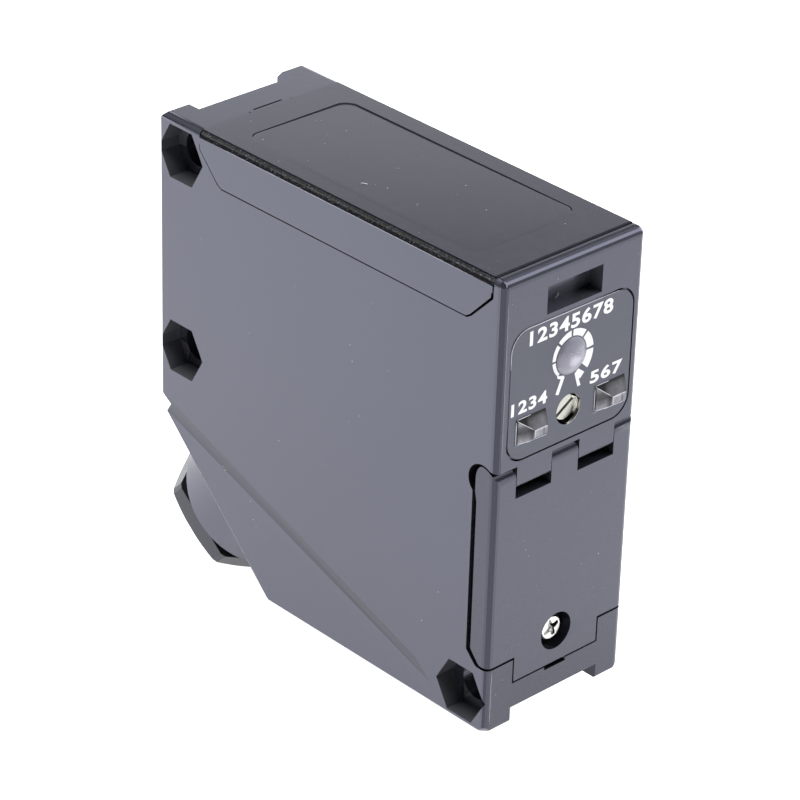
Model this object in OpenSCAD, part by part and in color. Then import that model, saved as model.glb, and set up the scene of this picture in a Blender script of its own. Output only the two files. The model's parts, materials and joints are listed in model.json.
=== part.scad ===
// Diffuse photoelectric sensor with a 45 degree cable inlet, three cross holes,
// a hinged wiring cover and a geared distance adjuster.
// Working axes: x runs from the lens face (0) to the operating panel, y across the
// thickness from the near wall (0), z upwards from the underside (0).
// The finished part is shifted so that the upper cross hole's mouth on the far wall is the origin.

/* [Case] */
// Depth of the case from lens face to operating panel
case_d = 67.7; // [67.6:0.1:67.8]
// Thickness of the case across the cross holes
case_w = 25.8; // [25.7:0.1:25.9]
// Height of the case
case_h = 68; // [67.9:0.1:68.1]
// Thickness of the upper side walls
wall = 1.8; // [1.6:0.1:1.9]
// Thickness of the lower side walls round the wiring room
low_wall = 2.4; // [2.2:0.1:2.5]
// Size of the 45 degree corner that carries the cable inlet
corner = 22.1; // [22:0.1:22.2]

/* [Mounting holes] */
// Radius of the three cross holes
hole_r = 2.6; // [2.55:0.05:2.7]
// Across flats of the nut pockets
nut_af = 8.03; // [8:0.01:8.1]
// Depth of the nut pockets
nut_deep = 3.2; // [3:0.1:3.4]

/* [Cable inlet] */
// Radius of the round boss
boss_r = 11.4; // [11.2:0.1:11.6]
// Across flats of the inlet nut
gland_af = 20.75; // [20.5:0.05:21]
// Radius of the cable hole
cable_r = 5; // [4.8:0.1:5.2]
// Turn of the inlet nut as tightened, in degrees
gland_turn = -4.3; // [-6:0.1:0]

/* [Cover hinge] */
// Radius of the hinge pin
pin_r = 0.6; // [0.55:0.05:0.6]
// Radial gap between the pin and the fixed hinge tabs
pin_gap = 0.05; // [0.04:0.01:0.06]
// Radius of the moving knuckles
knuckle_r = 2.4; // [2.35:0.05:2.4]

/* [Distance gears] */
// Module of the gears
gear_m = 0.2; // [0.19:0.005:0.2]
// Share of the tooth width taken off for backlash
backlash = 0.14; // [0.1:0.01:0.18]

/* [Hidden] */

mid = case_w / 2;
h1 = [4.57, 62.76];       // upper front cross hole, x and z
h2 = [4.51, 32.47];       // middle front cross hole
h3 = [62.78, 4.60];       // rear lower cross hole
hinge = [65.3, 38.2];     // hinge axis of the terminal cover
dial = [mid, 53.4];       // dial centre, y and z
adj = [mid, 45.5];        // adjuster centre
led_y = [6.4, 20.7];      // the two indicators
pipe_left = [3.3, 8.6, 43.6, 47.2];     // y and z limits of the clear windows
pipe_right = [17.7, 23.2, 43.4, 47.1];
led_z = 45.5;
gear_x0 = 62.2;           // inner face of the gears
gear_x1 = 63.8;           // outer face of the gears
n_pinion = 12;
n_idler = 16;
n_dial = 60;
cam_r0 = 2.4;             // cam radius at the shortest distance
cam_rise = 2.0;           // rise of the cam over the dial's travel
cam_turn = 290;           // travel of the dial in degrees
shell_grey = [0.42, 0.43, 0.49];
shell_dark = [0.36, 0.37, 0.41];

// idler centre, from the two mesh distances
d_pi = gear_m * (n_pinion + n_idler) / 2;
d_id = gear_m * (n_idler + n_dial) / 2;
d_pd = dial[1] - adj[1];
i_up = (d_pi * d_pi - d_id * d_id + d_pd * d_pd) / (2 * d_pd);
i_out = sqrt(d_pi * d_pi - i_up * i_up);
idler = [adj[0] + i_out, adj[1] + i_up];

// shapes drawn in side view, in panel view and in plan
module side_prism(pts, y0, y1) translate([0, y1, 0]) rotate([90, 0, 0]) linear_extrude(y1 - y0) polygon(pts);
module face_prism(pts, x0, x1) translate([x0, 0, 0]) rotate([90, 0, 90]) linear_extrude(x1 - x0) polygon(pts);
module plan_prism(pts, z0, z1) translate([0, 0, z0]) linear_extrude(z1 - z0) polygon(pts);
module box(a, b) translate(a) cube([b[0] - a[0], b[1] - a[1], b[2] - a[2]]);
module xcyl(y, z, r, x0, x1, fn = 48) translate([x0, y, z]) rotate([0, 90, 0]) cylinder(r = r, h = x1 - x0, $fn = fn);
module ycyl(x, z, r, y0, y1, fn = 48) translate([x, y0, z]) rotate([-90, 0, 0]) cylinder(r = r, h = y1 - y0, $fn = fn);
module round_box(y0, y1, z0, z1, r, x0, x1) {
  box([x0, y0 + r, z0], [x1, y1 - r, z1]);
  box([x0, y0, z0 + r], [x1, y1, z1 - r]);
  for (y = [y0 + r, y1 - r], z = [z0 + r, z1 - r]) xcyl(y, z, r, x0, x1);
}
module placed() translate([-h1[0], -case_w, -h1[1]]) children();
// local z along the cable inlet, outwards, from the point below the chamfer's middle
module at_gland() translate([0.332, mid, -0.332]) rotate([0, -135, 0]) children();
module tube(r, ri, z0, z1, fn = 64) difference() {
  translate([0, 0, z0]) cylinder(r = r, h = z1 - z0, $fn = fn);
  translate([0, 0, z0 - 1]) cylinder(r = ri, h = z1 - z0 + 2, $fn = fn);
}

// plan and panel-view limits that break the outer edges
function arc(cx, cy, r, a0, a1, n) = [for (i = [0:n]) let (a = a0 + (a1 - a0) * i / n) [cx + r * cos(a), cy + r * sin(a)]];
module outer_limits(y0, y1) intersection() {
  plan_prism(concat(arc(0.5, y0 + 0.5, 0.5, 180, 270, 2), arc(case_d - 1, y0 + 1, 1, 270, 360, 4),
    arc(case_d - 1, y1 - 1, 1, 0, 90, 4), arc(0.5, y1 - 0.5, 0.5, 90, 180, 2)), -1, case_h + 1);
  face_prism(concat(arc(y0 + 0.3, 0.3, 0.3, 180, 270, 2), arc(y1 - 0.3, 0.3, 0.3, 270, 360, 2),
    arc(y1 - 1, case_h - 1, 1, 0, 90, 5), arc(y0 + 1, case_h - 1, 1, 90, 180, 5)), -1, case_d + 1);
}

// The sloping lower side facet: bounded by a soft step below the crease line
// and by the slightly tilted facet plane itself.
crease = [[-3, 26.5], [52.5, 6.9], [56.9, 3.1], [57.1, -1], [-3, -1]];
module side_facet() intersection() {
  side_prism(crease, -3, 3);
  // step: falls 1 in 10 below the crease line
  translate([0, 0, 24.2]) rotate([0, 18.98, 0]) rotate([5.8, 0, 0]) box([-8, -12, -40], [70, 0, 12]);
  // facet plane
  translate([0, 0.25, 0]) rotate([0, 0, -0.086]) box([-8, -12, -8], [70, 0, 34]);
}

// takes the points off the rear corners of the case
module corner_tips() {
  translate([case_d - 1, 1, 1]) rotate([0, 35.264, -45]) box([0.95, -3, -3], [4, 3, 3]);
  translate([case_d - 1.1, 1, case_h - 1.1]) rotate([0, -35.264, -45]) box([1, -3, -3], [4, 3, 3]);
}

// underside of the edge above the knuckles, sloped so that the open cover's face clears it
module under_edge(y0, y1) side_prism([[65.6, 39], [69, 39], [69, 40.1], [case_d, 40.1], [65.6, 40.68]], y0, y1);

module nut_pocket(c, lo) intersection() {
  ycyl(c[0], c[1], nut_af / 2 / cos(30), -1, nut_deep, 6);
  box([lo, -2, c[1] - 6], [c[0] + 6, 6, c[1] + 6]);
}

module main_case() placed() color(shell_grey) difference() {
  union() {
    intersection() {
      side_prism(concat([[0, case_h - 0.3], [0, corner + 0.4], [0.3, corner - 0.25], [corner + 0.88, 0.3], [corner + 1.35, 0], [case_d - 0.4, 0]],
        arc(case_d - 0.4, 0.4, 0.4, 270, 360, 4), [[case_d, case_h - 1.3]],
        arc(case_d - 1.3, case_h - 1.3, 1.3, 0, 90, 4), [[0.3, case_h]]), 0, case_w);
      outer_limits(0, case_w);
    }
    at_gland() translate([0, 0, -17]) cylinder(r = boss_r, h = 9, $fn = 96);
  }
  // shallow U of the lens side and of the underside
  box([-1, 4.4, 18.7], [1.7, case_w - 4.4, case_h + 1]);
  side_prism([[1.6, case_h - 1.6], [3.3, case_h + 0.1], [1.6, case_h + 0.1]], 4.4, case_w - 4.4);
  box([corner + 2.5, 4.8, -1], [case_d + 1, case_w - 4.6, 2.3]);
  // front top edge break on the two ears
  side_prism([[-1, case_h - 2.1], [0, case_h - 1.1], [1.1, case_h], [2.1, case_h + 1], [-1, case_h + 1]], -1, case_w + 1);
  // room for the lid and its wings
  side_prism([[8.5, 69], [8.5, 65.15], [12.2, 61.2], [13.1, 60.72], [61.25, 60.78], [62.1, 61.3], [65.9, 65.2], [65.9, 69]], -1, case_w + 1);
  // electronics room
  side_prism([[3.4, 36.8], [9, 36.8], [9, 35.8], [61.2, 35.8], [61.2, 42.2], [65.4, 42.2], [65.4, 69], [9, 69], [9, 58.8], [3.4, 58.8]], 4.6, case_w - 4.6);
  side_prism([[9, 35.8], [61.2, 35.8], [61.2, 42.2], [65.4, 42.2], [65.4, 69], [9, 69]], wall, case_w - wall);
  // seat of the operating panel
  box([65.4, 0.9, 40.1], [69, case_w - 0.9, 69]);
  box([62.75, wall, 40.1], [66, case_w - wall, 42.4]);
  // opening for the lens window
  box([1, 5, 37.2], [4, case_w - 5, 58.4]);
  // wiring room
  side_prism([[9.2, 34.2], [9.2, 28.2], [9.2, 15.7], [21.1, 3.8], [57.4, 3.8], [57.4, 17], [61.5, 17], [61.5, 34.2]], low_wall, case_w - low_wall);
  side_prism([[3.5, 27.8], [3.5, 21.4], [9.4, 15.5], [9.4, 27.8]], 6, case_w - 6);
  box([61, 3.3, 17], [69, case_w - 3.3, 33.6]);
  // space taken by the terminal cover, round the sealing collar
  difference() {
    side_prism([[63.6, 40.1], [63.6, 11.8], [65.3, 10.05], [65.7, 9.87], [69, 9.85], [69, 40.1]], -1, case_w + 1);
    box([60, 1.9, 15.5], [65.3, case_w - 1.9, 35]);
  }
  box([65.8, 4.9, 6.1], [69, case_w - 4.7, 10]);
  box([66, 11, 5.6], [69, 15, 6.4]);
  xcyl(mid, 11.25, 4.05, 64.4, 69);
  xcyl(mid, 11.25, 1.45, 59, 65);
  ycyl(hinge[0], hinge[1], 2.55, -1, case_w + 1);
  under_edge(-1, case_w + 1);
  // cross holes and nut pockets
  for (c = [h1, h2, h3]) ycyl(c[0], c[1], hole_r, -1, case_w + 1, 64);
  nut_pocket(h1, 0.35);
  nut_pocket(h2, 0.35);
  nut_pocket(h3, 50);
  // cable inlet
  at_gland() {
    translate([0, 0, -15]) cylinder(r = 8.5, h = 8, $fn = 64);
    translate([0, 0, -19]) cylinder(r = 6, h = 6, $fn = 64);
  }
  side_facet();
  translate([0, case_w, 0]) mirror([0, 1, 0]) side_facet();
  corner_tips();
  translate([0, case_w, 0]) mirror([0, 1, 0]) corner_tips();
  // notch between the lens side and the 45 degree corner
  side_prism([[-1, 24.87], [0, 24.2], [2.1, 22.78], [0.95, 21.15], [-1, 21.15]], -1, case_w + 1);
  // fine slot near the lid's front edge
  box([7.95, 10, case_h - 0.2], [8.25, 15.2, case_h + 1]);
}

module top_cover() placed() color(shell_dark) difference() {
  union() {
    intersection() {
      union() {
        // roof
        box([8.5, wall + 0.1, 66], [65.77, case_w - wall - 0.1, case_h]);
        box([8.62, -0.12, 66], [65.77, case_w + 0.12, case_h]);
        box([8.5, 0.8, 67], [65.77, case_w - 0.8, case_h]);
        // wings
        for (y = [[-0.12, wall - 0.05], [case_w - wall + 0.05, case_w + 0.12]])
          side_prism([[8.75, case_h], [8.75, 65.3], [12.4, 61.45], [13.2, 60.98], [61.15, 61.03], [61.9, 61.5], [65.55, 65.35], [65.62, case_h]], y[0], y[1]);
      }
      face_prism([[-0.12, 50], [case_w + 0.12, 50], [case_w + 0.12, case_h - 1], [case_w - 0.65, case_h], [0.65, case_h], [-0.12, case_h - 1]], -1, case_d + 1);
    }
    // inner lips that locate the lid between the walls
    for (y = [[wall, wall + 1.1], [case_w - wall - 1.1, case_w - wall]])
      side_prism([[13.4, 66.2], [13.4, 59.6], [59.5, 59.6], [59.5, 66.2]], y[0], y[1]);
  }
  // label recess
  for (p = [[14, 5.7, 59, 19.9], [16.2, 3.5, 56.8, 22.1]]) box([p[0], p[1], case_h - 0.25], [p[2], p[3], case_h + 1]);
  for (x = [16.2, 56.8], y = [5.7, 19.9]) translate([x, y, case_h - 0.25]) cylinder(r = 2.2, h = 2, $fn = 40);
}

module rear_panel() placed() color(shell_dark) difference() {
  union() {
    // plate with a rounded upper edge
    side_prism(concat([[65.4, 40.1], [case_d, 40.1], [case_d, case_h - 1.3]],
      arc(case_d - 1.3, case_h - 1.3, 1.3, 0, 90, 5), [[66, case_h], [66, 65.9], [65.4, 65.9]]), 0.9, case_w - 0.9);
    // foot that meets the case wall
    box([62.75, wall, 41], [65.5, case_w - wall, 42.2]);
    // back of the deep pocket
    box([64.2, 7, 60.2], [65.5, 19, 65.8]);
    // bosses behind the dial and the adjuster
    xcyl(dial[0], dial[1], 2.6, 64, 65.5);
    xcyl(adj[0], adj[1], 3.3, 63.95, 65.5);
    // posts for the gear plate
    for (y = [4.4, 21.4], z = [51.2, 59.2]) xcyl(y, z, 1, 61.6, 65.5, 24);
    // hinge tabs
    for (y = [[3.95, 10.3], [15.4, 21.95]]) {
      ycyl(hinge[0], hinge[1], 1.7, y[0], y[1]);
      side_prism([[64.4, 37.4], [66.2, 37.05], [case_d - 0.15, 37], [case_d, 37.3], [case_d, 42], [64.4, 42]], y[0], y[1]);
    }
  }
  // relief round the moving knuckles
  for (y = [[-1, 3.95], [10.3, 15.4], [21.95, case_w + 1]]) {
    ycyl(hinge[0], hinge[1], 2.55, y[0], y[1]);
    under_edge(y[0], y[1]);
  }
  ycyl(hinge[0], hinge[1], pin_r + pin_gap, 0, case_w, 40);
  // deep pocket
  box([65.2, 8, 61], [70, 18, 65]);
  // room for the rear ends of the lid's wings
  for (y = [[0, 1.95], [case_w - 1.95, case_w]]) box([65, y[0], 64.8], [65.95, y[1], 66]);
  // groove and seat of the label plate
  round_box(1.65, 24.35, 40.85, 60.35, 3.1, 67.2, 70);
  // dial and adjuster
  xcyl(dial[0], dial[1], 2.65, 66.7, 70);
  xcyl(dial[0], dial[1], 2.4, 65.7, 70);
  xcyl(dial[0], dial[1], 0.86, 60, 70, 32);
  xcyl(adj[0], adj[1], 2.2, 64.9, 70);
  xcyl(adj[0], adj[1], 1.06, 60, 70, 32);
  // light pipes
  for (y = led_y) {
    box([60, y - 1.2, 44.5], [70, y + 1.2, 46.5]);
  }
  for (p = [pipe_left, pipe_right]) box([66.4, p[0], p[2]], [70, p[1], p[3]]);
}

module label_plate() placed() color([0.44, 0.46, 0.49]) difference() {
  round_box(1.9, 24.1, 41.1, 60.1, 3, 67.2, case_d);
  xcyl(dial[0], dial[1], 2.65, 60, 70);
  xcyl(adj[0], adj[1], 2.2, 60, 70);
  for (p = [pipe_left, pipe_right]) box([60, p[0], p[2]], [70, p[1], p[3]]);
}

module dial_window() placed() color([0.85, 0.88, 0.9, 0.5])
  translate([0, dial[0], dial[1]]) rotate([0, 90, 0]) rotate_extrude($fn = 64)
    polygon(concat([[2.65, 66.7], [2.65, 67.75]], [for (i = [1:7]) let (a = 41.4 * (1 - i / 7)) [4.01 * sin(a), 64.79 + 4.01 * cos(a)]],
      [for (i = [0:6]) let (a = 40 * i / 6) [3.4 * sin(a), 64.79 + 3.4 * cos(a)]], [[2.05, 67.3], [2.05, 66.7]]));

module distance_pointer() placed() color([0.25, 0.25, 0.27]) {
  xcyl(dial[0], dial[1], 0.8, 60.6, 66, 32);
  xcyl(dial[0], dial[1], 2.2, 65.9, 66.4, 48);
  translate([0, dial[0], dial[1]]) rotate([-145, 0, 0]) box([66.3, 0.1, -0.22], [66.62, 2, 0.22]);
}

// involute-flank gear outline
function inv(a) = tan(a) * 180 / PI - a;
function flank(r, rb) = r <= rb ? 0 : inv(acos(rb / r));
function gear_pts(n, phase) = let (rp = gear_m * n / 2, rb = rp * cos(20), ra = rp + 0.85 * gear_m, rr = rp - 1.15 * gear_m,
  h = 90 / n * (1 - backlash), rs = [rr, max(rr, rb), rp, ra])
  [for (i = [0:n - 1]) let (c = phase + 360 * i / n)
    each concat([for (r = rs) let (a = c - h - flank(rp, rb) + flank(r, rb)) [r * cos(a), r * sin(a)]],
      [for (j = [3:-1:0]) let (r = rs[j], a = c + h + flank(rp, rb) - flank(r, rb)) [r * cos(a), r * sin(a)]])];
// tooth phases that mesh: the dial first, then the idler against it, then the pinion against the idler
function mate_phase(phase_a, na, nb, dir) = dir + 180 - (0.5 - (dir - phase_a) * na / 360) * 360 / nb;
dir_di = atan2(idler[1] - dial[1], idler[0] - dial[0]);
dir_ip = atan2(adj[1] - idler[1], adj[0] - idler[0]);
ph_idler = mate_phase(0, n_dial, n_idler, dir_di);
ph_pinion = mate_phase(ph_idler, n_idler, n_pinion, dir_ip);
module gear(c, n, phase, r) difference() {
  translate([0, c[0], c[1]]) face_prism(gear_pts(n, phase), gear_x0, gear_x1);
  xcyl(c[0], c[1], r, 60, 70, 32);
}

module dial_gear() placed() color("ivory") difference() {
  gear(dial, n_dial, 0, 0.8);
  // spiral cam track in the inner face
  translate([0, dial[0], dial[1]]) face_prism(concat(
    [for (t = [-16:9:308]) let (r = cam_r0 + cam_rise * t / cam_turn - 0.5) [r * cos(90 + t), r * sin(90 + t)]],
    [for (t = [308:-9:-16]) let (r = cam_r0 + cam_rise * t / cam_turn + 0.5) [r * cos(90 + t), r * sin(90 + t)]]), 61, 62.9);
}

module idler_gear() placed() color("ivory") gear(idler, n_idler, ph_idler, 0.56);
module adjuster_pinion() placed() color([0.8, 0.68, 0.35]) gear(adj, n_pinion, ph_pinion, 0.6);

module adjuster_screw() placed() color("silver") difference() {
  union() {
    xcyl(adj[0], adj[1], 1.8, 66.1, 67);
    xcyl(adj[0], adj[1], 1, 63.95, 66.2, 32);
    xcyl(adj[0], adj[1], 0.6, 60.6, 64, 32);
  }
  translate([0, adj[0], adj[1]]) rotate([32, 0, 0]) box([66.5, -3, -0.25], [70, 3, 0.25]);
}

module adjuster_oring() placed() color([0.1, 0.1, 0.1])
  translate([65.4, adj[0], adj[1]]) rotate([0, 90, 0]) rotate_extrude($fn = 40) translate([1.62, 0]) circle(r = 0.5, $fn = 16);

module gear_plate() placed() color("gainsboro") {
  difference() {
    union() {
      box([60.4, 3.2, 50.2], [61.6, 22.6, 60.6]);
      box([60.4, 9.6, 43], [61.6, 18.2, 50.3]);
    }
    xcyl(dial[0], dial[1], 0.85, 60, 62, 32);
    xcyl(adj[0], adj[1], 0.65, 60, 62, 32);
    box([60, mid - 0.5, 55.2], [62, mid + 0.5, 58.6]);
  }
  xcyl(idler[0], idler[1], 0.5, 61.5, 63.85, 32);
}

// clear window seen in the panel: a small flat front face near one lower corner,
// with one facet sloping up from it and one sloping to the side
module light_pipe(y, p) {
  intersection() {
    side_prism([[66.4, p[2]], [68.3, p[2] + 0.12], [68.4, p[2] + 0.3], [68.4, p[2] + 1.4], [67.75, p[3]], [66.4, p[3]]], p[0], p[1]);
    plan_prism([[66.4, p[0]], [67.75, p[0]], [68.4, p[0] + 2.9], [68.4, p[1] - 0.1], [68.2, p[1]], [66.4, p[1]]], 40, 50);
  }
  box([62.3, y - 1.2, 44.5], [66.5, y + 1.2, 46.5]);
}
module light_pipe_left() placed() color([0.9, 0.92, 0.93, 0.5]) light_pipe(led_y[0], pipe_left);
module light_pipe_right() placed() color([0.9, 0.92, 0.93, 0.5]) light_pipe(led_y[1], pipe_right);

module indicator_board() placed() color("darkgreen") box([58.6, wall, 38.2], [59.6, case_w - wall, 49.4]);
module indicator_leds() placed() color("orange") for (y = led_y) {
  box([59.6, y - 1.3, 44.2], [60.6, y + 1.3, 46.8]);
  xcyl(y, led_z, 0.9, 60.5, 61.9, 24);
}

// terminal cover: side view of the whole, then hollowed behind
module terminal_cover() placed() color(shell_dark) difference() {
  union() {
    intersection() {
      difference() {
        side_prism([[64.4, 35.3], [64.4, 12.25], [65.75, 10.65], [66.2, 10.3], [case_d, 10.2], [case_d, 35.3]], 0, case_w);
        box([60, 1.5, 11.9], [66.1, case_w - 1.5, 40]);
      }
      outer_limits(0, case_w);
    }
    box([66.1, 5.15, 6.35], [case_d, case_w - 4.95, 11]);
    xcyl(mid, 11.25, 3.7, 64.75, 67);
    // knuckles
    intersection() {
      union() for (y = [[0, 3.85], [10.4, 15.3], [22.05, case_w]]) {
        ycyl(hinge[0], hinge[1], knuckle_r, y[0], y[1]);
        side_prism([[66.1, 35], [case_d, 35], [hinge[0] + knuckle_r, hinge[1]], [65.3, hinge[1]], [65.3, 36.8], [66.1, 36.6]], y[0], y[1]);
        if (y[0] != 10.4) side_prism([[64.35, 35], [66.2, 35], [66.2, 37.4], [63.9, 37.4]], max(y[0], y[0] > 10 ? case_w - 1.5 : 0), y[0] > 10 ? case_w : 1.5);
      }
      outer_limits(0, case_w);
    }
  }
  ycyl(hinge[0], hinge[1], pin_r, 0.8, case_w + 1, 40);
  xcyl(mid, 11.25, 2.8, 65.75, 69);
  xcyl(mid, 11.25, 1.3, 60, 69, 32);
}

module cover_gasket() placed() color([0.1, 0.1, 0.1]) difference() {
  box([65.3, 1.9, 15.5], [66.1, case_w - 1.9, 35]);
  box([65, 3.3, 17], [67, case_w - 3.3, 33.6]);
}

module cover_screw() placed() color("silver") difference() {
  union() {
    xcyl(mid, 11.25, 1.9, 65.75, 66.85);
    xcyl(mid, 11.25, 1.15, 61.4, 66, 32);
  }
  for (a = [20, 110]) translate([0, mid, 11.25]) rotate([a, 0, 0]) box([66.25, -1.1, -0.22], [70, 1.1, 0.22]);
}

module hinge_pin() placed() color("silver") ycyl(hinge[0], hinge[1], pin_r, 0.8, case_w - 0.2, 40);

t_pitch = 3.7;
module terminal_block() placed() color([0.16, 0.16, 0.17]) difference() {
  union() {
    box([48, low_wall, 19.6], [57.2, case_w - low_wall, 28.6]);
    for (i = [-3:2]) box([57, mid + (i + 0.5) * t_pitch - 0.4, 19.6], [60, mid + (i + 0.5) * t_pitch + 0.4, 28.6]);
    box([48, low_wall, 3.8], [50, case_w - low_wall, 20]);
  }
  for (i = [-2:2]) xcyl(mid + i * t_pitch, 24.1, 0.9, 52, 58, 24);
}
module terminal_clamps() placed() color([0.82, 0.72, 0.42]) for (i = [-2:2]) difference() {
  box([57.2, mid + i * t_pitch - 1.4, 20.6], [58, mid + i * t_pitch + 1.4, 27.6]);
  xcyl(mid + i * t_pitch, 24.1, 0.9, 52, 60, 24);
}
module terminal_screws() placed() color("silver") for (i = [-2:2]) difference() {
  union() {
    xcyl(mid + i * t_pitch, 24.1, 1.35, 58, 59.1, 32);
    xcyl(mid + i * t_pitch, 24.1, 0.9, 52.5, 58.2, 24);
  }
  box([58.6, mid + i * t_pitch - 2, 23.85], [60, mid + i * t_pitch + 2, 24.35]);
}

module mode_switch() placed() color([0.12, 0.12, 0.13]) difference() {
  box([50, 7.4, 29.8], [58, 18.4, 34.2]);
  box([56, 9.4, 31], [59, 16.4, 33]);
}
module mode_knob() placed() color("white") {
  box([56.2, 9.6, 31.15], [57.8, 13.2, 32.85]);
  box([57.7, 10.4, 31.4], [60, 12.4, 32.6]);
}

module gland_nut() placed() color([0.3, 0.3, 0.3]) at_gland() rotate([0, 0, gland_turn]) difference() {
  union() {
    intersection() {
      translate([0, 0, -7]) cylinder(r = gland_af / 2 / cos(30), h = 3.3, $fn = 6);
      translate([0, 0, -7]) cylinder(r1 = 16.1, r2 = 10.4, h = 3.31, $fn = 96);
      translate([0, 0, -8]) cylinder(r = 11.75, h = 6, $fn = 96);
    }
    translate([0, 0, -10]) cylinder(r = 8.35, h = 3.5, $fn = 64);
  }
  translate([0, 0, -11]) cylinder(r = cable_r, h = 10, $fn = 64);
  // lead-in of the cable hole
  translate([0, 0, -4.7]) cylinder(r1 = cable_r, r2 = cable_r + 1.01, h = 1.01, $fn = 64);
}
module gland_seal() placed() color([0.08, 0.08, 0.08]) at_gland() tube(10.2, 8.5, -8, -7);
module gland_bush() placed() color([0.1, 0.1, 0.1]) at_gland() tube(8.4, 4.6, -14.2, -10);
module gland_washer() placed() color("silver") at_gland() tube(8.4, 5.6, -15, -14.2);

module lens_window() placed() color([0.25, 0.05, 0.06, 0.8]) box([1.7, 5, 37.2], [3.4, case_w - 5, 58.4]);
// flat towards the window, domed inwards
module lens(z) translate([3.4, mid, z]) rotate([0, 90, 0]) rotate_extrude($fn = 64)
  polygon(concat([[0, 0], [4.9, 0], [4.9, 0.8]], [for (i = [1:8]) let (a = 33.5 * (1 - i / 8)) [8.9 * sin(a), 8.9 * cos(a) - 6.62]]));
module emitter_lens() placed() color([0.9, 0.9, 0.95, 0.5]) lens(42.6);
module receiver_lens() placed() color([0.9, 0.9, 0.95, 0.5]) lens(53.2);

module optics_frame() placed() color([0.08, 0.08, 0.08]) difference() {
  union() {
    box([3.4, 5, 37], [20.4, case_w - 5, 58.6]);
    for (y = [[7.6, 8.85], [16.95, 18.2]]) box([20, y[0], 48], [23.2, y[1], 60.6]);
    box([9, wall, 37.6], [12, case_w - wall, 57]);
  }
  xcyl(mid, 42.6, 4.9, 3, 5.9);
  xcyl(mid, 53.2, 4.9, 3, 5.9);
  xcyl(mid, 42.6, 4.3, 3, 17.4);
  xcyl(mid, 53.2, 4.3, 3, 17.4);
  xcyl(mid, 42.6, 2.5, 17, 21);
  box([17, mid - 2.4, 50.4], [21, mid + 2.4, 57.4]);
}
module emitter_led() placed() color([0.8, 0.2, 0.2, 0.7]) {
  xcyl(mid, 42.6, 2.5, 15.6, 20.6, 40);
  xcyl(mid, 42.6, 2.95, 20.4, 21.4, 40);
}
module receiver_slide() placed() color("gainsboro") {
  box([20.9, 9, 49.6], [22.6, 16.8, 57]);
  box([22.4, 11.4, 54.9], [60, 14.4, 56.7]);
  xcyl(mid, dial[1] + cam_r0, 0.4, 59.5, 62.7, 24);
}
module photodiode() placed() color([0.1, 0.1, 0.12]) box([19.8, mid - 1.8, 51.6], [20.9, mid + 1.8, 54]);

module main_board() placed() color("darkgreen") {
  box([24, 2.6, 37], [58.2, 4.2, 59]);
  box([30, 4.2, 43], [38, 5.4, 51]);
  box([44, 4.2, 45], [48, 5.2, 49]);
  box([50, 4.2, 39], [56, 6.6, 42]);
  for (y = [1.8], x = [30, 50]) box([x, y, 38], [x + 1, 2.7, 58]);
}
module power_board() placed() color("darkgreen") {
  box([24, case_w - 4, 37], [58.2, case_w - 2.4, 59]);
  for (x = [30, 50]) box([x, case_w - 2.5, 38], [x + 1, case_w - wall, 58]);
}
module relay() placed() color([0.1, 0.25, 0.5]) box([43, 11, 37.2], [57.4, case_w - 4, 52]);
module transformer() placed() color([0.75, 0.65, 0.2]) {
  box([27.5, 9, 40], [37.5, case_w - 4, 49.6]);
  difference() {
    box([25, 10.6, 37.4], [40, case_w - 5.2, 52.2]);
    box([27.5, 8, 40], [37.5, case_w, 49.6]);
  }
}
module capacitors() placed() color([0.1, 0.1, 0.15]) for (x = [33, 41, 49]) ycyl(x, 56, 2.6, case_w - 10.6, case_w - 4, 32);

main_case();
top_cover();
rear_panel();
label_plate();
dial_window();
distance_pointer();
dial_gear();
idler_gear();
adjuster_pinion();
adjuster_screw();
adjuster_oring();
gear_plate();
light_pipe_left();
light_pipe_right();
indicator_board();
indicator_leds();
terminal_cover();
cover_gasket();
cover_screw();
hinge_pin();
terminal_block();
terminal_clamps();
terminal_screws();
mode_switch();
mode_knob();
gland_nut();
gland_seal();
gland_bush();
gland_washer();
lens_window();
emitter_lens();
receiver_lens();
optics_frame();
emitter_led();
photodiode();
receiver_slide();
main_board();
power_board();
relay();
transformer();
capacitors();
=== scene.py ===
import json
import math
import random

import bmesh
import bpy
from mathutils import Matrix, Vector

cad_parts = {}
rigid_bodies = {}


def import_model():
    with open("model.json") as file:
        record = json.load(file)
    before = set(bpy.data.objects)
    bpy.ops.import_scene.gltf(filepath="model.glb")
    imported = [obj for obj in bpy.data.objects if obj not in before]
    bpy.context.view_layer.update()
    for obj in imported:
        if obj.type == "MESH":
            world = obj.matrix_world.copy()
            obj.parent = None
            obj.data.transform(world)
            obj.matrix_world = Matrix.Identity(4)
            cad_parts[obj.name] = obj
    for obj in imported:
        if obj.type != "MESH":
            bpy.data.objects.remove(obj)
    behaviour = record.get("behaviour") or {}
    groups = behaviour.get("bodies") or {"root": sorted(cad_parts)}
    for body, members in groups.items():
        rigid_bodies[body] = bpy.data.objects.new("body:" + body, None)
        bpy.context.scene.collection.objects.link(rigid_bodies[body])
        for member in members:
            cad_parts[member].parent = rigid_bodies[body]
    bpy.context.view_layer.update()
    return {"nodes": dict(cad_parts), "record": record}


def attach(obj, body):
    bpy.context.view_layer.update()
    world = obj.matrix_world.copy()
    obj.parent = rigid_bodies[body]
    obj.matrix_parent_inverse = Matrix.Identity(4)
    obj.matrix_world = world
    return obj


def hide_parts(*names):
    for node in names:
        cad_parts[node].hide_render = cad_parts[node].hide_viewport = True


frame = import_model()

# ---------------------------------------------------------------- frame helpers
# Working axes in mm: x from the lens face to the operating panel, y from the near wall, z up.
OX, OY, OZ = 4.57, 25.8, 62.76
W = 25.8
MID = W / 2


def P(x, y, z):
    return Vector(((x - OX) / 1000, (y - OY) / 1000, (z - OZ) / 1000))


NODES = frame["nodes"]

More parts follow.
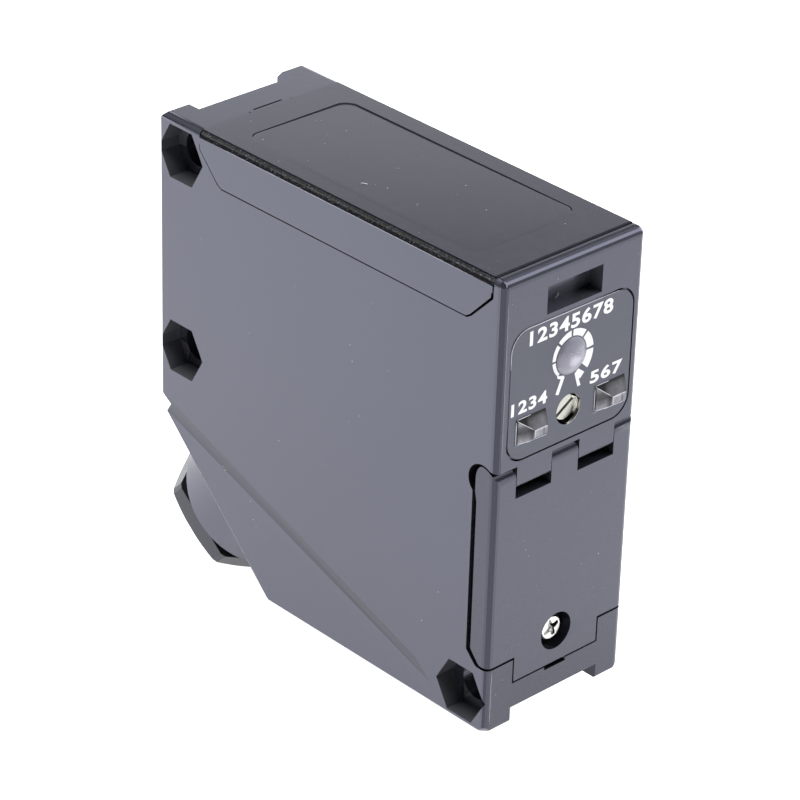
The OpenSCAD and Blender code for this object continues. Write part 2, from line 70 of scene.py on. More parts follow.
# ---------------------------------------------------------------- camera
TGT = Vector((47.901, 1.472, 42.47))
AZ, EL, ROLL, DIST, FPX = math.radians(46.357), math.radians(29.117), math.radians(1.731), 481.31, 3641.3
back = Vector((math.sin(AZ) * math.cos(EL), -math.cos(AZ) * math.cos(EL), math.sin(EL)))
pos = TGT + back * DIST
zc = -back
xc = zc.cross(Vector((0, 0, 1))).normalized()
yc = xc.cross(zc)
xr = xc * math.cos(ROLL) + yc * math.sin(ROLL)
yr = -xc * math.sin(ROLL) + yc * math.cos(ROLL)
cam_data = bpy.data.cameras.new("camera")
cam_data.sensor_fit = "HORIZONTAL"
cam_data.sensor_width = 36
cam_data.lens = FPX / 800 * 36
cam_data.clip_start, cam_data.clip_end = 0.01, 20
cam = bpy.data.objects.new("camera", cam_data)
bpy.context.scene.collection.objects.link(cam)
m = Matrix((xr, yr, back)).transposed().to_4x4()
m.translation = P(*pos)
cam.matrix_world = m
bpy.context.scene.camera = cam
bpy.context.scene.view_settings.view_transform = "Standard"

# ---------------------------------------------------------------- material helpers


def new_mat(name):
    mat = bpy.data.materials.new(name)
    mat.use_nodes = True
    nt = mat.node_tree
    nt.nodes.clear()
    out = nt.nodes.new("ShaderNodeOutputMaterial")
    bs = nt.nodes.new("ShaderNodeBsdfPrincipled")
    nt.links.new(bs.outputs["BSDF"], out.inputs["Surface"])
    return mat, nt, bs


def node(nt, kind, **vals):
    n = nt.nodes.new(kind)
    for k, v in vals.items():
        if hasattr(n, k):
            setattr(n, k, v)
        else:
            n.inputs[k.replace("_", " ")].default_value = v
    return n


def noise(nt, vec, scale, detail=2.0, rough=0.5, dist=0.0):
    n = nt.nodes.new("ShaderNodeTexNoise")
    n.inputs["Scale"].default_value = scale
    n.inputs["Detail"].default_value = detail
    n.inputs["Roughness"].default_value = rough
    n.inputs["Distortion"].default_value = dist
    nt.links.new(vec, n.inputs["Vector"])
    return n.outputs["Fac"]


def ramp(nt, fac, p0, p1, c0=(0, 0, 0, 1), c1=(1, 1, 1, 1)):
    r = nt.nodes.new("ShaderNodeValToRGB")
    r.color_ramp.elements[0].position, r.color_ramp.elements[1].position = p0, p1
    r.color_ramp.elements[0].color, r.color_ramp.elements[1].color = c0, c1
    nt.links.new(fac, r.inputs["Fac"])
    return r.outputs["Color"]


def mix(nt, fac, a, b, blend="MIX"):
    n = nt.nodes.new("ShaderNodeMix")
    n.data_type = "RGBA"
    n.blend_type = blend
    for sock, v in ((n.inputs["Factor"], fac), (n.inputs["A"], a), (n.inputs["B"], b)):
        if isinstance(v, (int, float)):
            sock.default_value = v
        elif isinstance(v, (tuple, list)):
            sock.default_value = (*v[:3], 1)
        else:
            nt.links.new(v, sock)
    return n.outputs["Result"]


def math_node(nt, op, a, b=None, clamp=False):
    n = nt.nodes.new("ShaderNodeMath")
    n.operation = op
    n.use_clamp = clamp
    for i, v in enumerate((a, b)):
        if v is None:
            continue
        if isinstance(v, (int, float)):
            n.inputs[i].default_value = v
        else:
            nt.links.new(v, n.inputs[i])
    return n.outputs[0]


def coords(nt):
    return nt.nodes.new("ShaderNodeTexCoord").outputs["Object"]


def bump(nt, bs, height, strength, distance, normal=None):
    b = nt.nodes.new("ShaderNodeBump")
    b.inputs["Strength"].default_value = strength
    b.inputs["Distance"].default_value = distance
    nt.links.new(height, b.inputs["Height"])
    if normal is not None:
        nt.links.new(normal, b.inputs["Normal"])
    nt.links.new(b.outputs["Normal"], bs.inputs["Normal"])
    return b


def moulded(name, col, rough=0.42, grain=1.0, spec=0.5, strip=None, fleck=1.0, sheen=None):
    """Satin moulded plastic: fine spark-eroded grain, faint clouding and a few pale flecks."""
    mat, nt, bs = new_mat(name)
    vec = coords(nt)
    cloud = noise(nt, vec, 90, 3, 0.55)
    fine = noise(nt, vec, 2600, 2, 0.6)
    mid = noise(nt, vec, 700, 3, 0.6)
    base = mix(nt, ramp(nt, cloud, 0.3, 0.7), [c * 0.965 for c in col], [c * 1.035 for c in col])
    base = mix(nt, ramp(nt, mid, 0.35, 0.65), mix(nt, 1.0, base, (0.985, 0.985, 0.985), "MULTIPLY"), base)
    fl = ramp(nt, noise(nt, vec, 1100, 0, 0.5), 0.80, 0.84)
    base = mix(nt, math_node(nt, "MULTIPLY", fl, 0.35 * fleck), base, [min(1, c * 1.9) for c in col])
    r = ramp(nt, mid, 0.3, 0.7, (rough - 0.012,) * 3 + (1,), (rough + 0.02,) * 3 + (1,))
    if strip:
        # a rough sloping edge with painted light: two dark bands of painted shade, a paler line of painted light
        # between them and bright grains as painted glints
        band = strip(nt, vec)
        spark = ramp(nt, noise(nt, vec, 5200, 2, 0.7), 0.60, 0.70)
        base = mix(nt, spark, band, (0.17, 0.17, 0.19))
    nt.links.new(base, bs.inputs["Base Color"])
    nt.links.new(r, bs.inputs["Roughness"])
    bs.inputs["Specular IOR Level"].default_value = spec
    bs.inputs["Specular Tint"].default_value = TINT
    if sheen:
        nt.links.new(sheen(nt, vec), bs.inputs["Specular Tint"])
    bump(nt, bs, math_node(nt, "ADD", fine, math_node(nt, "MULTIPLY", mid, 0.7)), 0.05 * grain, 0.00006)
    return mat


def metal(name, col, rough, scale=(400, 400, 4000), strength=0.15):
    mat, nt, bs = new_mat(name)
    vec = coords(nt)
    mp = nt.nodes.new("ShaderNodeMapping")
    mp.inputs["Scale"].default_value = scale
    nt.links.new(vec, mp.inputs["Vector"])
    n = noise(nt, mp.outputs["Vector"], 1.0, 4, 0.6)
    base = mix(nt, ramp(nt, n, 0.3, 0.7), [c * 0.86 for c in col], col)
    nt.links.new(base, bs.inputs["Base Color"])
    nt.links.new(ramp(nt, n, 0.3, 0.7, (rough * 0.8,) * 3 + (1,), (rough * 1.25,) * 3 + (1,)), bs.inputs["Roughness"])
    bs.inputs["Metallic"].default_value = 1
    bump(nt, bs, n, strength, 0.00002)
    return mat


def clear(name, col, rough, ior=1.49, trans=1.0):
    mat, nt, bs = new_mat(name)
    vec = coords(nt)
    n = noise(nt, vec, 500, 2, 0.5)
    nt.links.new(mix(nt, ramp(nt, n, 0.3, 0.7), [c * 0.97 for c in col], col), bs.inputs["Base Color"])
    nt.links.new(ramp(nt, n, 0.3, 0.7, (rough,) * 3 + (1,), (rough + 0.03,) * 3 + (1,)), bs.inputs["Roughness"])
    bs.inputs["IOR"].default_value = ior
    bs.inputs["Transmission Weight"].default_value = trans
    return mat


def limits(nt, vec, y0=None, y1=None, z0=None, x0=None, x1=None):
    """1 inside the stated limits (working mm), 0 outside."""
    sep = nt.nodes.new("ShaderNodeSeparateXYZ")
    nt.links.new(vec, sep.inputs[0])
    m_ = None
    for out, v, op, o in (("Y", y0, "GREATER_THAN", OY), ("Y", y1, "LESS_THAN", OY), ("Z", z0, "GREATER_THAN", OZ),
                          ("X", x0, "GREATER_THAN", OX), ("X", x1, "LESS_THAN", OX)):
        if v is None:
            continue
        t = math_node(nt, op, sep.outputs[out], (v - o) / 1000)
        m_ = t if m_ is None else math_node(nt, "MULTIPLY", m_, t)
    return m_


def steps_of(nt, fac, stops):
    """A colour ramp through grey or coloured stops [(position 0..1, value or colour)]."""
    r = nt.nodes.new("ShaderNodeValToRGB")
    el = r.color_ramp.elements

    def full(c):
        return (*((c,) * 3 if isinstance(c, (int, float)) else c), 1)
    el[0].position, el[0].color = stops[0][0], full(stops[0][1])
    el[1].position, el[1].color = stops[-1][0], full(stops[-1][1])
    for t, c in stops[1:-1]:
        e = el.new(t)
        e.color = full(c)
    nt.links.new(fac, r.inputs["Fac"])
    return r.outputs["Color"]


def along(nt, vec, axis, a, b):
    """0 at a, 1 at b, measured in working mm along one axis."""
    sep = nt.nodes.new("ShaderNodeSeparateXYZ")
    nt.links.new(vec, sep.inputs[0])
    o = {"X": OX, "Y": OY, "Z": OZ}[axis]
    t = math_node(nt, "SUBTRACT", sep.outputs[axis], (a - o) / 1000)
    return math_node(nt, "DIVIDE", t, (b - a) / 1000, True)


# a grainy tone between two levels, for the painted shade and light bands on the lid's bevel
def grainy_band_tone(low, high):
    def tone(nt, vec):
        return steps_of(nt, noise(nt, vec, 3000, 2, 0.6), [(0.36, low), (0.64, high)])
    return tone


def label_sheen(nt, vec):
    """Painted shade on the lid's sheen: a soft dark line along the rear and near sides of the label recess, and a lower
    sheen over the whole recess floor.
    """
    x0, x1, y0, y1, rr = 14.0, 59.0, 3.5, 22.1, 2.2
    sep = nt.nodes.new("ShaderNodeSeparateXYZ")
    nt.links.new(vec, sep.inputs[0])

    def centred(out, a, b, o):
        return math_node(nt, "SUBTRACT", math_node(nt, "MULTIPLY", out, 1000.0), (a + b) / 2 - o)
    px, py = centred(sep.outputs["X"], x0, x1, OX), centred(sep.outputs["Y"], y0, y1, OY)

    def over(p_, half):
        return math_node(nt, "MAXIMUM", math_node(nt, "SUBTRACT", math_node(nt, "ABSOLUTE", p_), half - rr), 0.0)
    qx, qy = over(px, (x1 - x0) / 2), over(py, (y1 - y0) / 2)
    far = math_node(nt, "SQRT", math_node(nt, "ADD", math_node(nt, "MULTIPLY", qx, qx), math_node(nt, "MULTIPLY", qy, qy)))
    t = math_node(nt, "DIVIDE", math_node(nt, "SUBTRACT", far, rr - 1.0), 5.0, True)
    dip = steps_of(nt, t, [(0.0, 0.98), (0.12, 0.96), (0.185, 0.80), (0.215, 0.56), (0.26, 0.58), (0.31, 0.82), (0.42, 0.92), (0.70, 0.90), (1.0, 1.0)])
    side = math_node(nt, "SUBTRACT", math_node(nt, "DIVIDE", px, (x1 - x0) / 2), math_node(nt, "DIVIDE", py, (y1 - y0) / 2))
    w_ = ramp(nt, side, 0.05, 0.75)
    cloud = steps_of(nt, noise(nt, vec, 140, 3, 0.55), [(0.3, 0.95), (0.7, 1.0)])
    tint = mix(nt, w_, (1, 1, 1), dip)
    recess_dim = steps_of(nt, t, [(0.0, 0.78), (0.17, 0.80), (0.21, 1.0), (1.0, 1.0)])
    tint = mix(nt, 1.0, tint, recess_dim, "MULTIPLY")
    return mix(nt, 1.0, mix(nt, 1.0, tint, cloud, "MULTIPLY"), TINT, "MULTIPLY")


def lit_facet(name, axis, a, b, stops, axis2=None, a2=0, b2=1, stops2=None, spec=0.14, rough=0.15):
    """Moulded clear plastic seen from outside, with painted reflections: pale and dark bands in its colour stand in for
    the light each facet throws back.
    """
    mat, nt, bs = new_mat(name)
    vec = coords(nt)
    tone = steps_of(nt, along(nt, vec, axis, a, b), stops)
    if axis2:
        tone = mix(nt, 1.0, tone, steps_of(nt, along(nt, vec, axis2, a2, b2), stops2), "MULTIPLY")
    cloud = steps_of(nt, noise(nt, vec, 900, 2, 0.5, 0.6), [(0.3, 0.75), (0.7, 1.15)])
    nt.links.new(mix(nt, 1.0, mix(nt, 1.0, tone, cloud, "MULTIPLY"), (0.91, 0.89, 1.0), "MULTIPLY"), bs.inputs["Base Color"])
    nt.links.new(ramp(nt, noise(nt, vec, 500, 2), 0.3, 0.7, (rough,) * 3 + (1,), (rough + 0.05,) * 3 + (1,)), bs.inputs["Roughness"])
    bs.inputs["Specular IOR Level"].default_value = spec
    bump(nt, bs, noise(nt, vec, 1500, 2), 0.05, 0.00004)
    return mat


def round_lens(name, cy, cz):
    """The clear dome over the pointer: lilac, with painted light that makes it paler towards its middle."""
    mat, nt, bs = new_mat(name)
    vec = coords(nt)
    dy = math_node(nt, "SUBTRACT", along(nt, vec, "Y", cy - 3, cy + 3), 0.5)
    dz = math_node(nt, "SUBTRACT", along(nt, vec, "Z", cz - 3, cz + 3), 0.5)
    d = math_node(nt, "SQRT", math_node(nt, "ADD", math_node(nt, "MULTIPLY", dy, dy), math_node(nt, "MULTIPLY", dz, dz)))
    d = math_node(nt, "ADD", d, math_node(nt, "MULTIPLY", noise(nt, vec, 900, 2, 0.5, 0.4), 0.10))
    tone = steps_of(nt, d, [(0.05, (0.66, 0.64, 0.73)), (0.17, (0.50, 0.48, 0.57)), (0.22, (0.34, 0.33, 0.40)), (0.40, (0.31, 0.30, 0.365)), (0.50, (0.22, 0.22, 0.27))])
    nt.links.new(tone, bs.inputs["Base Color"])
    nt.links.new(ramp(nt, noise(nt, vec, 500, 2), 0.3, 0.7, (0.24,) * 3 + (1,), (0.32,) * 3 + (1,)), bs.inputs["Roughness"])
    bs.inputs["Transmission Weight"].default_value = 0.25
    bs.inputs["Specular IOR Level"].default_value = 0.35
    return mat


CASE = (0.0195, 0.0205, 0.0270)
LID = (0.0150, 0.0160, 0.0210)
PANEL = (0.0170, 0.0180, 0.0230)
TINT = (0.755, 0.775, 1.02, 1)
M = {}
M["case_plastic"] = moulded("case_plastic", CASE, 0.22, spec=1.0)
M["case_step"] = moulded("case_step", [c * 0.8 for c in CASE], 0.24, spec=0.58)
M["lid_plastic"] = moulded("lid_plastic", LID, 0.20, spec=0.80, sheen=label_sheen)
M["panel_plastic"] = moulded("panel_plastic", PANEL, 0.28, 0.25, spec=0.86, fleck=0)
# painted shade: a duller copy of the plastic for the case's rearward faces and the cover's near side
M["case_rear"] = moulded("case_rear", PANEL, 0.26, 0.25, spec=0.74, fleck=0)
# painted shade and light on the lid's rough bevel: near-black bands of painted shade and a paler band of painted light,
# with bright painted glints in its grain
M["lid_strip"] = moulded("lid_strip", (0.013, 0.013, 0.015), 0.55, 2.0, spec=0.12, strip=grainy_band_tone(0.006, 0.026))
M["lid_strip_low"] = moulded("lid_strip_low", (0.006, 0.006, 0.007), 0.60, 1.0, spec=0.08, strip=grainy_band_tone(0.001, 0.004))
M["lid_strip_line"] = moulded("lid_strip_line", (0.048, 0.049, 0.056), 0.55, 2.0, spec=0.14, strip=grainy_band_tone(0.014, 0.044))
M["edge_shade"] = moulded("edge_shade", [c * 0.75 for c in CASE], 0.24, spec=0.50)
# painted shade: near-black plastic for faces in gaps, seams and recesses
M["deep_gap"] = moulded("deep_gap", (0.004, 0.004, 0.005), 0.6, 0.5, spec=0.12, fleck=0)
# painted light and shade: a paler, duller copy of the plastic for the walls inside the nut pockets
M["nut_pocket"] = moulded("nut_pocket", (0.050, 0.051, 0.057), 0.40, 1.2, spec=0.45)
# painted light: a paler, duller copy of the plastic that lifts the shaded end of the pocket in the panel
M["panel_pocket"] = moulded("panel_pocket", (0.050, 0.053, 0.063), 0.22, spec=0.5)
# painted highlights: pale plastic for the beads laid along edges
M["rim_light"] = moulded("rim_light", (0.62, 0.62, 0.66), 0.35, 0.5, fleck=0)
M["edge_light"] = moulded("edge_light", (0.26, 0.26, 0.30), 0.40, 0.5)
M["window_body"] = moulded("window_body", (0.105, 0.105, 0.135), 0.12, 0.8, spec=1.0, fleck=0)
M["bright_steel"] = metal("bright_steel", (0.86, 0.85, 0.83), 0.12, (900, 900, 900), 0.35)
M["label_film"] = moulded("label_film", (0.020, 0.0225, 0.024), 0.46, 0.5, spec=1.0, fleck=0.4)
M["nut_plastic"] = moulded("nut_plastic", (0.014, 0.0145, 0.014), 0.33, 0.8)
M["black_rubber"] = moulded("black_rubber", (0.012, 0.012, 0.013), 0.6, 1.2, fleck=0.3)
M["black_plastic"] = moulded("black_plastic", (0.015, 0.015, 0.017), 0.5, 1.0, fleck=0.3)
M["white_plastic"] = moulded("white_plastic", (0.72, 0.70, 0.62), 0.35, 0.5, fleck=0)
M["steel"] = metal("steel", (0.78, 0.77, 0.75), 0.30)
M["brass_gear"] = metal("brass_gear", (0.80, 0.62, 0.28), 0.28)
M["brass_clamp"] = metal("brass_clamp", (0.82, 0.70, 0.42), 0.30)
M["clear_plastic"] = clear("clear_plastic", (0.80, 0.80, 0.92), 0.06, trans=0.55)
M["window_plastic"] = clear("window_plastic", (0.070, 0.004, 0.007), 0.04, trans=0.25)
for n_ in M["window_plastic"].node_tree.nodes:
    if n_.type == "BSDF_PRINCIPLED":
        n_.inputs["Specular IOR Level"].default_value = 0.12
M["led_resin"] = moulded("led_resin", (0.75, 0.30, 0.08), 0.25, 0.4, fleck=0)
M["board"] = moulded("board", (0.018, 0.13, 0.05), 0.35, 0.6, fleck=0.2)
M["relay_case"] = moulded("relay_case", (0.03, 0.09, 0.30), 0.3, 0.5, fleck=0)
M["transformer_tape"] = moulded("transformer_tape", (0.55, 0.42, 0.08), 0.4, 1.5, fleck=0)
M["capacitor_sleeve"] = moulded("capacitor_sleeve", (0.02, 0.02, 0.045), 0.25, 0.5, fleck=0)
M["print_white"] = moulded("print_white", (0.80, 0.80, 0.80), 0.45, 0.5, fleck=0)
M["pointer_disc"] = moulded("pointer_disc", (0.36, 0.35, 0.41), 0.35, 0.4, fleck=0)
M["dome_plastic"] = round_lens("dome_plastic", 12.6, 53.1)
M["adjuster_plate"] = metal("adjuster_plate", (0.44, 0.44, 0.40), 0.34, (700, 700, 700), 0.10)
# painted shade: a greyer steel for the slopes of the screw's cross recess
M["screw_grey"] = metal("screw_grey", (0.62, 0.61, 0.59), 0.38, (1600, 1600, 1600), 0.6)
M["sleeve_metal"] = metal("sleeve_metal", (0.50, 0.49, 0.44), 0.10, (1400, 1400, 1400), 0.9)
M["lint"] = moulded("lint", (0.45, 0.45, 0.48), 0.6, 0.5, fleck=0)

SLOT = {s["node"]: s["material_slot"] for s in frame["record"]["subparts"]}
for name, o in NODES.items():
    o.data.materials.clear()
    o.data.materials.append(M[SLOT.get(name, "black_plastic")])
NODES["distance_pointer"].data.materials.clear()
NODES["distance_pointer"].data.materials.append(M["pointer_disc"])
NODES["adjuster_screw"].data.materials.clear()
NODES["adjuster_screw"].data.materials.append(M["adjuster_plate"])
for name_, mat_ in (("dome_plastic", "dial_window"), ("window_body", "light_pipe_left"), ("window_body", "light_pipe_right")):
    NODES[mat_].data.materials.clear()
    NODES[mat_].data.materials.append(M[name_])

# ---------------------------------------------------------------- refined pieces


def link(o, body, replaced=()):
    if o.name not in bpy.context.scene.collection.objects:
        bpy.context.scene.collection.objects.link(o)
    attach(o, body)
    for n in replaced:
        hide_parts(n)
    return o


def shade(me, angle=32):
    me.shade_smooth()
    me.set_sharp_from_angle(angle=math.radians(angle))


def even(o):
    """Normals weighted by face area; soft breaks between two large faces stay crisp."""
    me = o.data
    faces = {}
    for poly in me.polygons:
        for k in poly.edge_keys:
            faces.setdefault(k, []).append(poly)
    for e in me.edges:
        ps = faces.get(tuple(sorted(e.vertices)), [])
        if len(ps) == 2 and min(q.area for q in ps) > 8e-6 and ps[0].normal.angle(ps[1].normal, 0) > math.radians(1.2):
            e.use_edge_sharp = True
    wn_ = o.modifiers.new("even", "WEIGHTED_NORMAL")
    wn_.mode = "FACE_AREA"
    wn_.keep_sharp = True
    wn_.weight = 80


def refine(name, body, width=0.16, angle=24, minlen=0.9, seg=2, keep=None):
    """A copy of a CAD node with its longer sharp edges broken by a small real radius."""
    src = NODES[name]
    me = src.data.copy()
    me.name = name + "_finished"
    bm = bmesh.new()
    bm.from_mesh(me)
    bmesh.ops.remove_doubles(bm, verts=bm.verts, dist=1.5e-6)
    bmesh.ops.dissolve_limit(bm, angle_limit=math.radians(0.4), use_dissolve_boundaries=False, verts=bm.verts, edges=bm.edges, delimit=set())
    bmesh.ops.dissolve_degenerate(bm, edges=bm.edges, dist=1e-6)
    pick = []
    for e in bm.edges:
        if len(e.link_faces) != 2 or e.calc_length() < minlen / 1000:
            continue
        a = math.degrees(e.calc_face_angle(0))
        if a < angle or a > 150:
            continue
        if keep and not keep(e):
            continue
        pick.append(e)
    if pick and width:
        bmesh.ops.bevel(bm, geom=pick, offset=width / 1000, offset_type="OFFSET", segments=seg, profile=0.5, affect="EDGES",
                        clamp_overlap=True, loop_slide=True)
    bm.normal_update()
    bm.to_mesh(me)
    bm.free()
    me.materials.clear()
    me.materials.append(src.data.materials[0])
    if name == "main_case":
        # the narrow step along the crease catches less light than the walls
        me.materials.append(M["case_step"])
        for poly in me.polygons:
            if -0.14 < poly.normal.z < -0.06 and abs(poly.normal.y) > 0.95 and poly.area > 1e-5:
                poly.material_index = 1
    o = bpy.data.objects.new(name + "_finished", me)
    shade(me)
    even(o)
    link(o, body, (name,))
    return o


BODY = {n: b for b, ns in frame["record"]["behaviour"]["bodies"].items() for n in ns}


def finish_piece(bm, name, mat, body, replaced=(), smooth=None):
    me = bpy.data.meshes.new(name)
    bm.normal_update()
    bm.to_mesh(me)
    bm.free()
    me.materials.append(M[mat])
    o = bpy.data.objects.new(name, me)
    if smooth:
        shade(me, smooth)
    return link(o, body, replaced)


def slab(bm, pts, x0, x1):
    """A thin plate on the operating panel: outline in y and z, from x0 to x1."""
    area2 = sum(pts[i][0] * pts[(i + 1) % len(pts)][1] - pts[(i + 1) % len(pts)][0] * pts[i][1] for i in range(len(pts)))
    if area2 < 0:
        pts = pts[::-1]
    top = [bm.verts.new(P(x1, y, z)) for y, z in pts]
    low = [bm.verts.new(P(x0, y, z)) for y, z in pts]
    bm.faces.new(top)
    bm.faces.new(low[::-1])
    n = len(pts)
    for i in range(n):
        j = (i + 1) % n
        bm.faces.new((top[j], top[i], low[i], low[j]))


# finished shells: the longer sharp edges of the mouldings broken by a small real radius
refine("main_case", "case", 0.12)
refine("rear_panel", "case", 0.12)
refine("terminal_cover", "cover", 0.14)
refine("gland_nut", "case", 0.16)
refine("adjuster_screw", "adjuster", 0.10, minlen=0.3)


# the lid, its top laid out finely so that the shallow label recess has crisp walls
def smooth01(t):
    t = min(1.0, max(0.0, t))
    return t * t * (3 - 2 * t)


def recess(x, y):
    x0, x1, y0, y1, rr = 14.0, 59.0, 3.5, 22.1, 2.2
    cx, cy = min(max(x, x0 + rr), x1 - rr), min(max(y, y0 + rr), y1 - rr)
    dx, dy = x - cx, y - cy
    far = math.hypot(dx, dy)
    d = rr - far if far > 1e-9 else min(x - x0, x1 - x, y - y0, y1 - y)
    if d <= 0.02:
        return 0.0
    if d < 0.16 and ((x < x0 + rr and y > y0 + 0.7) or (y > y1 - rr and x < x1 - 0.7)):
        return -0.16
    u = 1 - (x1 - x) / (x1 - x0)
    return -0.15 * (y - y0) / (y1 - y0) * (1 - u * u)


def lid():
    src = NODES["top_cover"]
    bm = bmesh.new()
    bm.from_mesh(src.data)
    bmesh.ops.remove_doubles(bm, verts=bm.verts, dist=1.5e-6)
    limit = P(0, 0, 67.70).z
    bmesh.ops.delete(bm, geom=[f for f in bm.faces if all(v.co.z > limit for v in f.verts)], context="FACES")
    bmesh.ops.dissolve_limit(bm, angle_limit=math.radians(0.4), use_dissolve_boundaries=False, verts=bm.verts, edges=bm.edges, delimit=set())

    def steps(a, b, fine):
        out, v = [a], a
        while v < b - 1e-6:
            if any(f0 - 1e-6 <= v < f1 for f0, f1 in fine):
                v += 0.07
            else:
                v = min([v + 0.6] + [f0 for f0, f1 in fine if f0 > v])
            out.append(min(v, b))
        return out
    xs = steps(8.5, 65.66, ((13.8, 16.3), (56.6, 59.2))) + [65.77]
    ys = steps(0.65, 25.15, ((3.2, 5.8), (19.7, 22.3)))
    edge_x = P(65.7, 0, 0).x
    for v in bm.verts:
        if v.co.x > edge_x and v.co.z > limit:
            v.co.z -= 0.00012
    grid = [[bm.verts.new(P(x, y, 67.88 if x > 65.7 else 68 + recess(x, y))) for y in ys] for x in xs]
    for i in range(len(xs) - 1):
        for j in range(len(ys) - 1):
            bm.faces.new((grid[i][j], grid[i + 1][j], grid[i + 1][j + 1], grid[i][j + 1]))
    # cut the lid's bevel into the bands that carry its painted shade and painted light
    for cut in (67.40, 67.58, 67.82):
        geom = [f for f in bm.faces if f.normal.z > 0.3 and abs(f.normal.y) > 0.3 and max(v.co.z for v in f.verts) < P(0, 0, 68.1).z and f.calc_area() > 1e-5]
        edges = {e for f in geom for e in f.edges}
        verts = {v for f in geom for v in f.verts}
        bmesh.ops.bisect_plane(bm, geom=geom + list(edges) + list(verts), dist=1e-7, plane_co=P(0, 0, cut), plane_no=(0, 0, 1))
    o = finish_piece(bm, "top_cover_finished", "lid_plastic", "case", ("top_cover",), 30)
    # painted shade: the narrow gap round the front and far sides of the label lies in shadow and takes the near-black
    # gap material, as does the lid's end at the seam behind it; the bevel takes its painted bands
    for key in ("deep_gap", "lid_strip", "edge_shade", "case_plastic", "lid_strip_low", "lid_strip_line"):
        o.data.materials.append(M[key])
    for poly in o.data.polygons:
        wx, wy = poly.center.x * 1000 + OX, poly.center.y * 1000 + OY
        zs = [o.data.vertices[i].co.z for i in poly.vertices]
        if wx > 65.6 and poly.normal.x > 0.3:
            poly.material_index = 1
        elif poly.normal.z > 0.3 and abs(poly.normal.y) > 0.3 and not 0.66 < wy < 25.14:
            wz = poly.center.z * 1000 + OZ
            poly.material_index = 5 if wz < 67.40 else 6 if wz < 67.58 else 2 if wz < 67.82 else 1
        elif min(zs) > P(0, 0, 67.6).z and max(zs) - min(zs) > 0.0001 and wx < 62:
            poly.material_index = 1
        # painted light: the lid's side faces take the case plastic, paler and glossier than the lid's own, like the
        # side walls
        elif abs(poly.normal.y) > 0.9:
            poly.material_index = 4
    even(o)
    return o


LIDO = lid()

# painted shade: faces that look into a narrow gap between two mouldings are given a near-black material
from mathutils.bvhtree import BVHTree

for v in bpy.data.objects["terminal_cover_finished"].data.vertices:
    wx, wz = v.co.x * 1000 + OX - 65.3, v.co.z * 1000 + OZ - 38.2
    if 1.5 < math.hypot(wx, wz) < 2.6 and (wz > 0 or wx < -1.2):
        if wx < 0:
            v.co.x -= (wx * (0.5 if wz > 0 else 1.0) + (0 if wz > 0 else 1.2)) / 1000
        if wz > 0:
            v.co.z -= 0.05 * wz / 1000
SHELLS = [bpy.data.objects[n] for n in ("main_case_finished", "rear_panel_finished", "terminal_cover_finished")] + [LIDO, NODES["label_plate"]]
vv, ff = [], []
for o in SHELLS:
    k = len(vv)
    vv += [v.co.copy() for v in o.data.vertices]
    ff += [[k + i for i in poly.vertices] for poly in o.data.polygons]
tree = BVHTree.FromPolygons(vv, ff)


def index_of(o, key):
    for i, m_ in enumerate(o.data.materials):
        if m_ == M[key]:
            return i
    o.data.materials.append(M[key])
    return len(o.data.materials) - 1


def dist_yz(c, y, z):
    return math.hypot(c.y - P(0, y, 0).y, c.z - P(0, 0, z).z) * 1000


for o in SHELLS:
    dark, edge = index_of(o, "deep_gap"), index_of(o, "edge_shade")
    for poly in o.data.polygons:
        n, c = poly.normal, poly.center
        pts = [c] + [c.lerp(o.data.vertices[i].co, 0.7) for i in poly.vertices]
        near = sum(tree.ray_cast(q + n * 2e-6, n, 0.0009)[0] is not None for q in pts)
        if o is LIDO and n.z > 0.3 and abs(n.y) > 0.3:
            continue
        if poly.area > 5e-9 and near > 0.66 * len(pts):
            poly.material_index = dark
        # painted shade: the case's rearward faces and the cover's near side take a duller copy of the plastic
        elif n.x > 0.92 and o.name.startswith("main_case"):
            poly.material_index = index_of(o, "case_rear")
        elif n.y < -0.92 and o.name.startswith("terminal_cover"):
            poly.material_index = index_of(o, "case_rear")
        elif c.x > P(30, 0, 0).x and abs(n.x) > 0.25 and abs(n.y) > 0.25 and abs(n.z) < 0.35 and n.x > 0 and poly.area > 1e-7:
            poly.material_index = edge
        wx, wy, wz = c.x * 1000 + OX, c.y * 1000 + OY, c.z * 1000 + OZ
        # painted shade: the counterbore round the cover screw takes the near-black gap material
        if o.name.startswith("terminal_cover") and dist_yz(c, MID, 11.25) < 2.9 and wx < 67.6:
            poly.material_index = dark
        if o.name.startswith("terminal_cover") and wz > 37.3 and n.z > 0.35 and poly.material_index != dark:
            poly.material_index = edge
        # painted shade: the gap round the hinge knuckles takes the near-black gap material
        if o.name.startswith("main_case") and wx < 65.3 and wz > 35 and 2.3 < math.hypot(wx - 65.3, wz - 38.2) < 2.7 and abs(n.y) < 0.5:
            poly.material_index = dark
        # painted light: the walls of the pocket in the panel take a paler, duller copy of the plastic that lifts its
        # shaded end
        if o.name.startswith("rear_panel") and 7.9 < wy < 18.1 and 60.9 < wz < 65.1 and 65 < wx < 67.5:
            poly.material_index = index_of(o, "panel_pocket")
        # painted shade: the panel's face at the seam behind the lid takes the near-black gap material
        if o.name.startswith("rear_panel") and wx < 66.10 and wz > 67.2:
            poly.material_index = dark
        if o.name[:5] in ("label", "rear_") and dist_yz(c, MID, 45.5) < 2.32 and 64.8 < wx < 67.69:
            poly.material_index = index_of(o, "sleeve_metal")
        if o.name.startswith("main_case") and n.y < -0.9 and wy > 12 and wz < 3 and wx > 24:
            poly.material_index = index_of(o, "edge_shade")
        # painted light and shade: the walls inside the three nut pockets take a paler, duller copy of the plastic, for
        # an even mid-dark
        if o.name.startswith("main_case") and 0.12 < wy < 3.35:
            for hx, hz in ((4.57, 62.76), (4.51, 32.47), (62.78, 4.60)):
                if math.hypot(wx - hx, wz - hz) < 4.8 and math.hypot(wx - hx, wz - hz) > 2.0:
                    poly.material_index = index_of(o, "nut_pocket")
